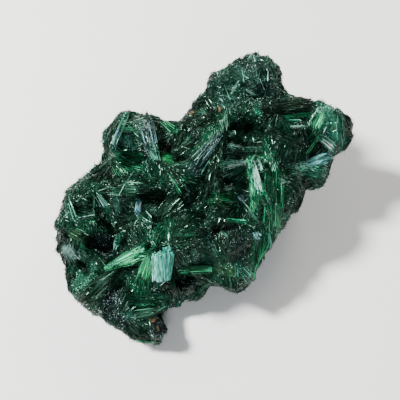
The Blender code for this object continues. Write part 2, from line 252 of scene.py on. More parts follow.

# How a part of the surface looks: colour of its ground and of its laths, share of it under needles, how
# much of it glints, and share of it under black crust. Its glint share is how thickly needles painted pale as
# glints lie on it, and how far its laths turn to the key light.
Finish = namedtuple("Finish", "ground lath cover glint crust")
FINISHES = {
    "ground": Finish("#06281b", "#0f5236", 1.0, 0.04, 0.0),
    "deep": Finish("#04140d", "#08301f", 1.0, 0.003, 0.0),
    "dark": Finish("#041b12", "#0c412c", 1.0, 0.01, 0.0),
    "lit edge": Finish("#041b12", "#36a870", 1.0, 0.04, 0.0),
    "shelf": Finish("#101a14", "#16261c", 1.0, 0.0, 0.0),
    "green": Finish("#083c27", "#1f945c", 1.0, 0.06, 0.0),
    "dome green": Finish("#102a24", "#356f5a", 1.0, 0.08, 0.0),
    "vivid green": Finish("#0f6a38", "#1f945c", 0.5, 0.04, 0.0),
    "emerald": Finish("#053c20", "#1ad67c", 0.8, 0.03, 0.0),
    "light green": Finish("#0c442c", "#46c884", 1.0, 0.06, 0.0),
    "mint green": Finish("#0a4a30", "#3cd89a", 0.9, 0.12, 0.0),
    "pale green": Finish("#205846", "#7fc0a4", 1.0, 0.2, 0.0),
    "grey green": Finish("#14352a", "#4f866b", 1.0, 0.08, 0.0),
    "mint": Finish("#103a2e", "#66ccaa", 1.0, 0.1, 0.0),
    "sparkling mint": Finish("#0f4230", "#4fb894", 1.0, 0.14, 0.0),
    "pale mint": Finish("#123f32", "#b8f0e0", 0.8, 0.15, 0.0),
    "blue mint": Finish("#194b48", "#7accc6", 1.0, 0.1, 0.0),
    "pale column": Finish("#1f6656", "#6cd4ba", 1.0, 0.0, 0.0),
    "teal column": Finish("#1a5448", "#46aa98", 1.0, 0.0, 0.0),
    # The pale laths of white and silver are painted sheen: the light that silky green fibres catch.
    "white": Finish("#165a42", "#b4ffe6", 0.8, 0.25, 0.0),
    "ice": Finish("#1c4a50", "#a4d8e4", 0.8, 0.2, 0.0),
    "silver": Finish("#0f2625", "#6f99a6", 1.0, 0.22, 0.0),
    "grey": Finish("#5f8078", "#a9bcb7", 0.15, 0.1, 0.0),
    "smooth green": Finish("#16332a", "#2a7a57", 0.0, 0.01, 0.0),
    "olive": Finish("#24422c", "#34563a", 0.5, 0.03, 0.0),
    "ochre": Finish("#8a6a48", "#8e6a36", 0.0, 0.0, 0.0),
    "brown": Finish("#201b14", "#24160e", 0.3, 0.05, 0.5),
    "black": Finish("#030706", "#0a1110", 0.1, 0.12, 1.0),
    "glitter": Finish("#050c0c", "#0b1114", 0.05, 0.24, 1.0),
}
# Finishes drawn by lot, a common one named more often: for domains, and for small fans on what the
# photograph shows and on what it hides.
DOMAIN_FINISHES = ("ground", "ground", "ground", "ground", "deep", "deep", "green", "grey green")
SEEN_FANS = ("ground", "ground", "ground", "dark", "deep")
UNSEEN_FANS = ("ground", "ground", "ground", "green", "green", "deep", "light green", "mint", "grey green")

# What stands out in the photograph, in its pixels: name, root, tip, half width at each, rise in mm,
# finish, laths side by side, layers of them, and how much the laths differ. Later marks lie over earlier
# ones, and a mark without laths only changes the surface.
Mark = namedtuple("Mark", "name root tip root_half tip_half rise finish laths layers contrast",
                  defaults=(0, 0, 0.0))
# Six short rays of the star share their root.
STAR_ROOT = (127, 183)
STAR_TIPS = ((114, 189), (121, 194), (128, 195), (137, 191), (143, 184), (134, 173))
# Where a mark sinks a pit, hole, cleft, gully or hollow and gives it the deep, dark or black finish, its
# darkness is partly painted shade, laid on top of the real recess that the sculpt makes.
MARKS = [Mark(*row) for row in [
    ("dome_body", (248, 62), (264, 92), 24, 22, 0.0, "dome green", 0, 1),
    ("dome_left", (216, 82), (230, 100), 12, 14, 0.0, "dome green", 0, 1),
    ("dome_streaks", (243, 68), (252, 90), 4, 10, 0.3, "dome green", 0, 1),
    ("dome_spark", (254, 58), (256, 64), 0.9, 0.9, 0.8, "pale mint", 1, 1, 0.3),
    ("dome_streak_right", (265.5, 71), (265, 81), 0.8, 0.8, 0.8, "pale mint", 1, 1, 0.3),
    ("dome_streak_low", (257, 79), (262, 91), 0.8, 0.8, 0.7, "pale mint", 1, 1, 0.3),
    ("dome_blade", (247, 88), (255, 93.5), 1.4, 1.4, 1, "pale mint", 3, 1, 0.8),
    ("dome_needle_side", (269, 70), (272, 84), 0.5, 0.5, 0.5, "grey green", 1, 1, 0.5),
    ("dome_needle_slant", (233, 90), (241, 80), 0.5, 0.5, 0.5, "pale green", 1, 1, 0.5),
    ("dome_needle_top", (256, 52), (248, 62), 0.5, 0.5, 0.5, "pale green", 1, 1, 0.5),
    ("dome_needle_flat", (258, 92), (246, 94), 0.5, 0.5, 0.5, "grey green", 1, 1, 0.5),
    ("dome_needle_steep", (244, 70), (246, 82), 0.5, 0.5, 0.5, "pale green", 1, 1, 0.5),
    ("dome_needle_cross", (240, 74), (249, 80), 0.6, 0.6, 0.5, "grey green", 1, 1, 0.5),
    ("dome_needle_edge", (225, 84), (231, 100), 0.6, 0.6, 0.5, "grey green", 1, 1, 0.5),
    ("dome_needle_far", (268, 86), (264, 98), 0.6, 0.6, 0.5, "grey green", 1, 1, 0.5),
    ("dome_needle_low", (243, 101), (252, 96), 0.6, 0.6, 0.5, "pale green", 1, 1, 0.5),
    ("dome_needle_right", (259, 70), (256, 84), 0.6, 0.6, 0.5, "grey green", 1, 1, 0.5),
    ("dome_needle_mid", (240, 84), (232, 94), 0.6, 0.6, 0.5, "pale green", 1, 1, 0.5),
    ("dome_needle_high", (252, 62), (249, 76), 0.6, 0.6, 0.5, "dome green", 0, 1),
    ("dome_needle_left", (224, 93), (236, 99), 0.6, 0.6, 0.5, "pale green", 1, 1, 0.5),
    ("dome_pit_low", (255, 97), (259, 98), 2.2, 2.2, -1, "deep"),
    ("dome_pit_high", (247, 60), (250, 62), 2, 2, -1, "deep"),
    ("dome_pit_right", (262, 84), (265, 88), 2.2, 2.5, -1.2, "deep"),
    ("dome_pit_left", (231, 78), (233, 80), 2.2, 2.2, -1.2, "deep"),
    ("dome_hole", (245, 85), (248, 86), 3, 3, -2, "deep"),
    ("right_slope", (274, 168), (272, 236), 10, 10, 0.2, "green", 40, 1, 1.03),
    ("right_low", (262, 236), (256, 282), 9, 10, 0.0, "green", 11, 1, 1.03),
    ("right_pale", (278, 176), (287, 181), 4, 4, 0.2, "grey green", 5, 1, 0.69),
    ("right_bright", (276, 203), (277, 230), 1.6, 2.4, 0.5, "light green", 7, 1, 0.69),
    ("right_pale_dash", (268, 232), (272, 250), 0.8, 1.2, 0.8, "mint", 3, 1, 0.34),
    ("right_spot", (275, 164), (272, 172), 1.2, 1.6, 0.4, "mint", 3, 1, 0.34),
    ("lobe_flank", (114, 124), (104, 162), 4, 6, 0.0, "dark", 5, 1, 0.8),
    ("lobe_shoulder", (112, 160), (97, 176), 4, 7, 0.0, "deep", 8, 1, 0.8),
    ("arch_top", (122, 130), (146, 122), 7, 6, 0.5, "grey green", 7, 1, 1.2),
    ("arch_left", (128, 113), (112, 151), 1.4, 2.8, 1.0, "mint", 7, 1, 0.69),
    ("arch_left_white", (121, 126), (112, 149), 0.7, 1.2, 1.2, "silver", 5, 1, 0.8),
    ("arch_right", (145, 123), (151, 150), 7, 6.5, 1.2, "silver", 8, 1, 2),
    ("arch_foot", (152, 147), (158, 164), 5, 2.4, 0.9, "mint", 10, 2, 0.69),
    ("hollow_roof", (127, 140), (131, 146), 6, 7, 0, "pale green"),
    ("hollow_inside", (116, 155), (143, 166), 8, 9, -1.6, "green", 20, 1, 1.38),
    ("hollow_fan", (110, 157), (125, 178), 2.5, 8, 0.4, "lit edge", 9, 1, 1.15),
    ("hollow_lip", (124, 168), (141, 172), 2.5, 2.5, 0.3, "light green", 3, 1, 0.57),
    ("silver_foot", (147, 160), (149, 173), 2.6, 3.2, 0.3, "mint", 0, 1),
    ("high_mint", (162, 121), (175, 131), 3, 4.5, 0.3, "light green", 3, 1, 0.8),
    ("gully", (168, 146), (160, 157), 3.5, 4.5, -1.5, "brown"),
    ("emerald_knob", (165, 156), (172, 163), 4.5, 4.5, 0.4, "vivid green", 0, 1),
    ("dark_hole", (176, 159), (186, 160), 5, 6, -2.2, "deep"),
    ("emerald_slope", (167, 165), (188, 192), 5, 8, 0.1, "lit edge", 12, 1, 1.61),
    ("slope_edge", (157, 162), (184, 192), 1.2, 1.8, 0.4, "deep", 0, 1),
    ("rim_body", (106, 189), (142, 192), 6, 6, 0.2, "ground", 8, 1, 0.8),
    ("rim_left", (120, 183), (98, 191), 1.6, 1.3, 0.9, "deep", 2, 1, 0.7),
    ("rim_right", (122, 184), (155, 179), 2.0, 1.3, 0.8, "lit edge", 4, 1, 0.8),
    *[(f"star_ray_{number}", STAR_ROOT, tip, 0.5, 1.5, 0.3, "grey green", 1, 1, 0.7)
      for number, tip in enumerate(STAR_TIPS, 1)],
    ("middle_gully", (142, 195), (166, 196), 6, 8, -1.4, "deep"),
    ("left_white_flake", (99, 194), (107, 206), 2.4, 3.4, 0.4, "white", 6, 1, 0.6),
    ("below_flakes", (100, 213), (110, 226), 5, 6, -1.0, "deep", 7, 1, 0.92),
    ("hanging_flake", (115, 195), (118, 211), 5.5, 5, 1.3, "smooth green"),
    ("smooth_lump", (138, 216), (146, 224), 2, 5, 0.3, "grey green", 3, 1, 1.0),
    ("blue_chip", (139, 200), (138, 212), 2.2, 2.8, 0.3, "ice", 8, 1, 0.69),
    ("left_streak", (145, 213), (151, 220), 0.4, 0.4, 1.2, "white", 2, 1, 0.23),
    ("bowl_inside", (78, 209), (88, 212), 6, 6, -1.2, "dark", 4, 1, 0.92),
    ("bowl_rim", (68, 203), (73, 220), 3.5, 5, 0.6, "mint", 3, 1, 0.92),
    ("bowl_needle", (79, 218), (95, 215), 0.6, 0.7, 1.2, "pale mint", 1, 1, 0.34),
    ("bowl_low_needle", (87, 221), (95, 221), 0.5, 0.5, 1.2, "green", 1, 1, 0.34),
    ("bowl_edge", (95, 194), (95, 227), 1.2, 1.4, 0.8, "ground", 4, 1, 0.57),
    ("olive_slope", (72, 232), (88, 240), 6, 6, 0.0, "olive", 3, 1, 0.69),
    ("grey_patch", (67, 249), (72, 255), 5.5, 5.5, 0.3, "grey"),
    ("grey_patch_low", (61, 258), (65, 263), 2, 2, 0.2, "dark"),
    ("grey_glitter", (79, 252), (89, 260), 4, 4, 0.0, "grey green", 7, 1, 1.03),
    ("big_hollow", (98, 241), (108, 246), 10, 12, -3.6, "black"),
    ("side_pit", (87, 243), (91, 248), 4, 4, -2.2, "deep"),
    ("hollow_floor", (94, 254), (104, 267), 2.5, 3, 0.2, "dark", 5, 1, 0.92),
    ("claw_chip", (119, 235), (116, 249), 1.4, 1.6, 1.4, "mint", 6, 1, 0.46),
    ("speckled_pit", (122, 275), (131, 284), 5, 5, -0.8, "green"),
    ("left_glitter", (90, 272), (78, 287), 9, 9, 0.3, "sparkling mint"),
    ("round_pit", (82, 266), (86, 270), 5.5, 5, -1.6, "deep"),
    ("dark_left_fan", (122, 268), (86, 297), 4, 10, 0.8, "deep", 24, 2, 1.03),
    ("dark_fan_streak", (115, 272), (103, 281), 0.7, 0.8, 1.0, "grey green", 2, 1, 0.57),
    ("second_fan", (150, 254), (141.5, 288), 4, 10, 0.8, "light green", 34, 2, 0.9),
    ("light_green_fan", (105, 269), (146, 250.5), 1.2, 9.5, 1.6, "light green", 36, 2, 0.92),
    ("low_green", (132, 298), (158, 301), 7, 7, -0.4, "ground", 11, 1, 0.92),
    ("low_green_fan", (166, 310), (132, 317), 1.5, 6, 0.9, "grey green", 22, 2, 1.1),
    ("glitter_patch", (112, 299), (111, 308), 14, 13, 0.0, "glitter"),
    ("charcoal_slope", (112, 313), (121, 322), 7, 7, 0.0, "glitter"),
    ("tip_slope", (130, 324), (146, 338), 6, 8, 0, "deep", 10, 1, 1),
    ("tip_knob", (156, 322), (158, 333), 9, 9, 2.4, "black"),
    ("tip_knob_top", (156, 325), (157.5, 330), 4.5, 4.5, 4, "black"),
    ("tip_ochre", (152, 321), (155, 320), 1.6, 1.6, 0.2, "ochre"),
    ("tip_ochre_low", (158, 327), (159, 330), 1.2, 1.2, 0.2, "ochre"),
    ("tip_end", (146, 343), (154, 344), 4, 4, 0.0, "dark"),
    ("right_knob", (188, 287), (190, 289), 7, 7, 1.4, "black"),
    ("right_knob_top", (188, 286), (190, 289), 3.8, 3.8, 3, "black"),
    ("left_knob", (171, 287), (173, 289), 6.5, 6.5, 1.8, "brown"),
    ("left_knob_top", (170.5, 286), (172.5, 289), 3.4, 3.4, 3.2, "brown"),
    ("thin_chip", (152, 288.5), (166, 277), 1.0, 1.4, 1.4, "pale mint", 5, 1, 0.46),
    ("middle_ridge", (230, 106), (223, 134), 2.5, 3.5, 0.9, "grey green", 9, 1, 0.8),
    ("fin_face", (222, 132), (207, 198), 3, 10, 0.6, "deep", 0, 1),
    ("silver_fan", (220, 134), (193, 166), 3, 7.5, 1.0, "silver", 8, 1, 2.4),
    ("silver_fan_mint", (206, 150), (192, 160), 1.5, 3, 1.1, "deep", 2, 1, 0.8),
    ("fin_edge", (225.5, 128), (216, 204), 0.9, 1.1, 1.3, "deep", 2, 1, 0.46),
    ("fin_streak", (209, 159), (201, 172), 0.6, 0.8, 1.2, "mint", 3, 1, 0.34),
    # Painted shadow: black crust where the fin casts its shadow, over a shallow groove.
    ("fin_shadow", (228.5, 128), (228, 148), 1.4, 1.4, -1.6, "black"),
    ("cleft", (233, 128), (250, 130), 5, 8, -3.2, "deep"),
    ("cleft_right", (254, 133), (262, 134), 5, 5, -2.0, "deep", 8, 1, 0.92),
    ("cleft_rim", (240, 146), (262, 143), 3, 4, -0.4, "shelf", 5, 1, 0.8),
    ("band_green", (262, 149.5), (232, 150), 1.5, 2, 0.3, "grey green", 4, 1, 1),
    ("cleft_blades", (243, 149), (227, 146), 0.7, 1.3, 1.6, "white", 8, 1, 0.3),
    ("cleft_blade_low", (228, 151.5), (240, 144.5), 0.5, 0.7, 1.2, "pale mint", 3, 1, 0.4),
    ("band_brown", (262, 154), (227, 156), 2.2, 3, -0.8, "shelf", 10, 1, 0.57),
    ("green_facet", (248, 165), (226, 178), 2.5, 6, 0.0, "ground", 13, 1, 0.57),
    ("band_edge", (264, 158), (246, 162), 0.6, 0.8, 0.7, "light green", 4, 1, 0.34),
    ("band_foot", (246, 163), (224, 165), 0.9, 5, 0.5, "white", 7, 1, 0.7),
    ("foot_spark", (227, 173), (221, 176), 0.6, 0.8, 0.6, "white", 3, 1, 0.23),
    ("fin_hole", (222, 178), (228, 182), 3.5, 4, -2.6, "black"),
    ("white_fan_side", (251, 166), (268, 207), 2.5, 7, 0.3, "green", 13, 1, 1.03),
    ("white_fan_skirt", (254, 188), (255, 214), 5, 6, 0.5, "light green", 14, 1, 1.26),
    ("white_fan_left", (249, 170), (254, 194), 1.0, 2, 0.8, "light green", 7, 1, 0.8),
    ("white_fan_green", (250, 162), (257, 196), 1.6, 4.5, 1, "mint green", 10, 1, 1.8),
    ("white_fan", (252, 160), (260.5, 193), 1, 3, 1.3, "white", 12, 2, 0.5),
    ("small_streak", (258, 160), (261, 171), 0.6, 0.7, 1.3, "white", 3, 1, 0.34),
    ("foot_needle", (218, 190), (233, 189), 0.5, 0.6, 0.8, "pale mint", 2, 1, 0.34),
    ("arcs_dark", (231, 192), (240, 206), 5, 6, -0.3, "light green"),
    ("emerald_arcs", (231, 200), (216, 199), 6, 9, 0.3, "emerald", 9, 1, 1.2),
    ("silver_speck", (239, 196), (243, 201), 2.2, 2.4, 0.6, "ice", 6, 1, 1.03),
    ("needle_pair", (243, 201), (253, 212), 0.5, 0.6, 1.0, "grey green", 2, 1, 0.34),
    ("needle_pair_low", (249, 208), (258, 221), 0.5, 0.8, 1.0, "grey green", 3, 1, 0.34),
    ("dark_patch", (234, 232), (238, 250), 12, 12, 0.0, "glitter"),
    ("patch_glow", (226, 220.5), (248, 222.5), 2, 2.6, 0.2, "green", 8, 1, 1.2),
    ("patch_glow_right", (238, 219), (251, 226), 2, 2.4, 0.2, "green", 0, 1),
    ("pale_dash", (221, 232), (228, 238), 0.9, 0.9, 0.5, "grey green", 3, 1, 0.23),
    ("bluish_spot", (255, 235), (258, 238), 3, 3, 0.8, "ice", 5, 1, 0.8),
    ("olive_low", (216, 268), (230, 272), 5.5, 7, 0.2, "olive", 0, 1),
    ("low_mint", (240, 265), (251, 277), 6, 8, 0.3, "mint", 10, 1, 1.6),
    ("low_mint_edge", (236, 262), (237, 276), 1.0, 1.4, 0.5, "mint", 2, 1, 0.57),
    ("low_ledge", (212, 269), (180, 271), 3.5, 4, 1.6, "light green", 36, 1, 0.9),
    ("slant_green", (203, 206), (180, 224), 3, 4, 0.2, "dark", 10, 1, 1.15),
    ("shelf_face", (268, 110), (320, 105), 8.5, 7, -0.2, "shelf", 12, 1, 0.57),
    ("shelf_green", (284, 117), (310, 114), 2.5, 3.5, 0.3, "green", 8, 1, 1.03),
    ("shelf_dark_line", (272, 131), (294, 142), 7, 7, 0.0, "deep"),
    ("mint_streak", (288, 122.5), (299, 122.5), 0.3, 0.3, 1.2, "mint green", 2, 1, 0.3),
    ("white_streak", (289, 126.5), (304, 126.2), 0.3, 0.3, 1.8, "white", 3, 1, 0.1),
    ("tip_grain", (322, 104), (336, 142), 11, 11, 0.2, "pale green", 0, 1),
    ("tip_rim", (339, 113), (341, 150), 3.5, 3.5, 0.6, "mint", 14, 1, 1.03),
    ("tip_fan", (323, 113), (315, 132), 2, 5, 0.9, "light green", 14, 2, 1.03),
    ("tip_green_streak", (320, 132), (305, 153), 0.8, 1.6, 0.6, "green", 2, 1, 0.6),
    ("tip_spark", (325, 125), (321, 133), 0.6, 0.6, 1.5, "white", 2, 1, 0.23),
    ("tip_olive", (330, 127), (334, 129), 2.6, 2.6, 0.0, "olive"),
    ("tip_grey", (322, 138), (334, 148), 5, 6, 0.1, "pale green", 8, 1, 1.15),
    ("blue_fan", (306, 164), (328, 157), 3, 6, 0.8, "blue mint", 24, 2, 0.8),
    ("tip_grains", (300, 168), (321, 172), 8, 8, 0.3, "pale green", 0, 1),
    ("tip_chip", (330, 167), (334, 170), 2.0, 2.2, 0.4, "mint", 0, 1),
    ("tip_brown", (337, 146), (336, 158), 1.8, 2, 0.0, "brown"),
    ("shoulder_pale", (226, 87), (238, 90), 3, 4, 0.1, "grey green", 3, 1, 1.03),
    ("sparkles", (256, 110), (261, 115), 2.4, 2.4, 0.9, "white", 0, 1),
    ("high_ochre", (219.5, 107), (220, 112), 1.1, 1.1, 0.0, "ochre"),
    ("edge_ochre", (190, 113), (193, 112), 0.9, 0.9, 0.0, "ochre"),
]]

# Short crystals that point every way: root, tip and half width of the patch in the photograph.
VELVET = [
    ((90, 272), (78, 287), 12),
    ((125, 276), (132, 290), 9),
    ((240, 266), (252, 278), 8),
    ((250, 75), (268, 78), 26),
    ((216, 84), (232, 90), 14),
    ((196, 128), (212, 118), 12),
    ((240, 104), (262, 110), 14),
    ((200, 236), (226, 246), 24),
    ((330, 112), (334, 140), 14),
]

# The two mint columns: name, foot and top in the photograph, width at the foot and at the top, thickness,
# how much the top falls away beside its peak, and finish.
Column = namedtuple("Column", "name foot top foot_width top_width thick fall finish")
COLUMNS = [
    Column("mint_column_low", (158.5, 275.5), (157.7, 249.8), 2.8, 2.7, 3.2, 0.5, "pale column"),
    Column("mint_column_high", (167.4, 272.0), (169.4, 243.5), 2.4, 3.7, 3.4, 3.0, "teal column"),
]
# Rows from back to front, laths in a row and sections along a lath.
COLUMN_ROWS = 4
COLUMN_LATHS = 15
COLUMN_STATIONS = 9
COLUMN_LATH_HALF = 0.2
COLUMN_LATH_SWELL = (0.6, 1.3)
COLUMN_ROLL = 0.7
COLUMN_KEEL = 0.9
# A column stands proud of the mass, is a little rounded, and has its peak off its middle.
COLUMN_FORWARD = 0.9
COLUMN_SUNK = 0.15
COLUMN_ROUNDNESS = 0.5
COLUMN_PEAK = 0.15
COLUMN_SIDE_SHIFT = 0.4
COLUMN_DEPTH_SHIFT = 0.1
COLUMN_RAGGED_TOP = 0.35
COLUMN_RAGGED_FOOT = 0.3
COLUMN_LATH_TONE = (-0.3, 0.3)
COLUMN_SPOT_TONE = 0.6


def linear(hex_colour):
    """An sRGB hex colour as linear RGBA."""
    parts = [int(hex_colour[i:i + 2], 16) / 255 for i in (1, 3, 5)]
    return [c / 12.92 if c <= 0.04045 else ((c + 0.055) / 1.055) ** 2.4 for c in parts] + [1.0]


def rgb(hex_colour):
    return np.array(linear(hex_colour)[:3])


def camera_axes():
    """The camera's right, up and back directions as the columns of a matrix."""
    azimuth, elevation = math.radians(CAMERA_AZIMUTH), math.radians(CAMERA_ELEVATION)
    back = Vector((math.sin(azimuth) * math.cos(elevation), -math.cos(azimuth) * math.cos(elevation),
                   math.sin(elevation)))
    right = Vector((math.cos(azimuth), math.sin(azimuth), 0))
    upright = Matrix((right, back.cross(right), back)).transposed()
    return upright @ Matrix.Rotation(math.radians(CAMERA_ROLL), 3, "Z")


def link(obj):
    bpy.context.scene.collection.objects.link(obj)
    return obj


def settle(obj):
    """Replace the object's mesh by what its modifiers give, and drop the modifiers."""
    graph = bpy.context.evaluated_depsgraph_get()
    graph.update()
    finished = bpy.data.meshes.new_from_object(obj.evaluated_get(graph))
    obj.modifiers.clear()
    obj.data = finished


def read_vectors(collection, name):
    values = np.empty(len(collection) * 3)
    collection.foreach_get(name, values)
    return values.reshape(-1, 3)


def move_points(mesh, points):
    """Give the mesh these points, none of them below the flat underside."""
    points[:, 2] = np.maximum(points[:, 2], cad_box[0][2])
    mesh.vertices.foreach_set("co", points.ravel())
    mesh.update()


def write_attribute(mesh, name, values):
    kind, field = ("FLOAT_VECTOR", "vector") if values.ndim == 2 else ("FLOAT", "value")
    attribute = mesh.attributes.new(name, kind, "POINT")
    attribute.data.foreach_set(field, np.ascontiguousarray(values, dtype=np.float32).ravel())


def normalised(vectors):
    return vectors / (np.linalg.norm(vectors, axis=-1, keepdims=True) + 1e-12)


def smooth_step(values):
    values = np.clip(values, 0.0, 1.0)
    return values * values * (3.0 - 2.0 * values)


def noise_at(points, scale):
    return np.array([noise.noise(Vector(p) * scale) for p in points])


class Photo:
    """The photograph's view of a mesh, from pixels to its surface and back."""

    def __init__(self, mesh):
        self.tree = BVHTree.FromPolygons([v.co for v in mesh.vertices],
                                         [tuple(p.vertices) for p in mesh.polygons])
        self.axes = camera_axes()

    def on_surface(self, pixel):
        """The surface at a pixel; a pixel just outside the outline slides in until it meets the surface."""
        u, v = pixel
        for _ in range(MOST_STEPS):
            x = (u - PHOTO_SIDE / 2) / FOCAL_PX
            y = (PHOTO_SIDE / 2 - v) / FOCAL_PX
            hit, normal, _index, _distance = self.tree.ray_cast(CAMERA_PLACE, self.axes @ Vector((x, y, -1)))
            if hit is not None:
                return np.array(hit) / MM, np.array(normal)
            u += STEP_INWARDS * (MIDDLE_PX[0] - u)
            v += STEP_INWARDS * (MIDDLE_PX[1] - v)
        raise ValueError(f"the pixel {pixel} doesn't meet the surface")

    def pixels(self, points):
        """Where the points, in metres, fall in the photograph."""
        local = (points - np.array(CAMERA_PLACE)) @ np.array(self.axes)
        depth = -local[:, 2:]
        return np.array((PHOTO_SIDE / 2, PHOTO_SIDE / 2)) + FOCAL_PX * local[:, :2] / depth * (1, -1)

    def sees(self, points):
        seen = np.zeros(len(points), bool)
        for index, point in enumerate(points):
            ray = Vector(point) - CAMERA_PLACE
            _hit, _normal, _face, distance = self.tree.ray_cast(CAMERA_PLACE, ray)
            seen[index] = distance is not None and distance > ray.length - SEEN_SLACK
        return seen


class Facing:
    """A flat view of the surface from straight above one of its points, in millimetres."""

    def __init__(self, tree, centre, normal, heading):
        self.tree, self.centre, self.normal, self.heading = tree, centre, normal, heading
        self.across = np.cross(normal, heading)

    def on_surface(self, spot):
        start = self.centre + self.heading * spot[0] + self.across * spot[1] + self.normal * LOOK_FROM
        hit, normal, _index, _distance = self.tree.ray_cast(Vector(start * MM), Vector(-self.normal),
                                                            LOOK_REACH * MM)
        if hit is None:
            below = Vector((start - self.normal * LOOK_FROM) * MM)
            hit, normal, _index, _distance = self.tree.find_nearest(below)
        return np.array(hit) / MM, np.array(normal)


def dense_mass():
    """A dense copy of the solid, its facets rounded off, that carries the fine relief."""
    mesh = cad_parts["malachite"].data.copy()
    bm = bmesh.new()
    bm.from_mesh(mesh)
    bmesh.ops.remove_doubles(bm, verts=bm.verts, dist=WELD * MM)
    bm.to_mesh(mesh)
    bm.free()
    obj = link(bpy.data.objects.new("malachite_mass", mesh))
    even_out(obj, FIRST_ROUNDS)
    return obj


def even_out(obj, rounds):
    """Remesh the object at an even size and round it off a little."""
    remesh = obj.modifiers.new("dense", "REMESH")
    remesh.mode = "VOXEL"
    remesh.voxel_size = MASS_VOXEL * MM
    relax = obj.modifiers.new("round off", "SMOOTH")
    relax.factor = ROUND_OFF
    relax.iterations = rounds
    settle(obj)


def mark_reach(pixels, root, tip, root_half, tip_half, wobble):
    """How strongly each pixel belongs to a mark, and which side of its middle line it is on."""
    root, tip = np.array(root, float), np.array(tip, float)
    run = tip - root
    length = np.linalg.norm(run)
    away = pixels - root
    along = np.clip(away @ run / length ** 2, 0, 1)
    half = root_half + (tip_half - root_half) * along
    gap = np.linalg.norm(away - along[:, None] * run, axis=1)
    across = np.array((-run[1], run[0])) / length
    weight = smooth_step(MARK_SHARPNESS * (MARK_REACH - gap / half) + MARK_RAGGEDNESS * wobble)
    return weight, (away @ across) / half


def even_with_neighbours(mesh, values, rounds):
    """Move each point's value halfway to the mean of its neighbours', a few times."""
    ends = np.empty(len(mesh.edges) * 2, int)
    mesh.edges.foreach_get("vertices", ends)
    ends = ends.reshape(-1, 2)
    count = len(values)
    neighbours = np.bincount(ends.ravel(), minlength=count)
    for _ in range(rounds):
        total = np.bincount(ends[:, 0], values[ends[:, 1]], count)
        total += np.bincount(ends[:, 1], values[ends[:, 0]], count)
        values = 0.5 * values + 0.5 * total / np.maximum(neighbours, 1)
    return values


def sculpt(obj):
    """Raise the ridges and sink the hollows that the marks name, along the photograph's lines of sight."""
    photo = Photo(obj.data)
    points = read_vectors(obj.data.vertices, "co")
    seen = photo.sees(points)
    pixels = photo.pixels(points)
    wobble = noise_at(points / MM, SCULPT_WOBBLE_SCALE)
    rise = np.zeros(len(points))
    for mark in MARKS:
        halves = max(mark.root_half, LEAST_RIDGE_HALF_PX), max(mark.tip_half, LEAST_RIDGE_HALF_PX)
        weight, _side = mark_reach(pixels, mark.root, mark.tip, *halves, wobble)
        rise += (mark.rise - rise) * weight * (abs(mark.rise) > LEAST_RISE)
    rise = even_with_neighbours(obj.data, rise * seen, SMOOTHING_ROUNDS)
    sight = normalised(np.array(CAMERA_PLACE) - points)
    move_points(obj.data, points + sight * rise[:, None] * MM)
    even_out(obj, LATER_ROUNDS)


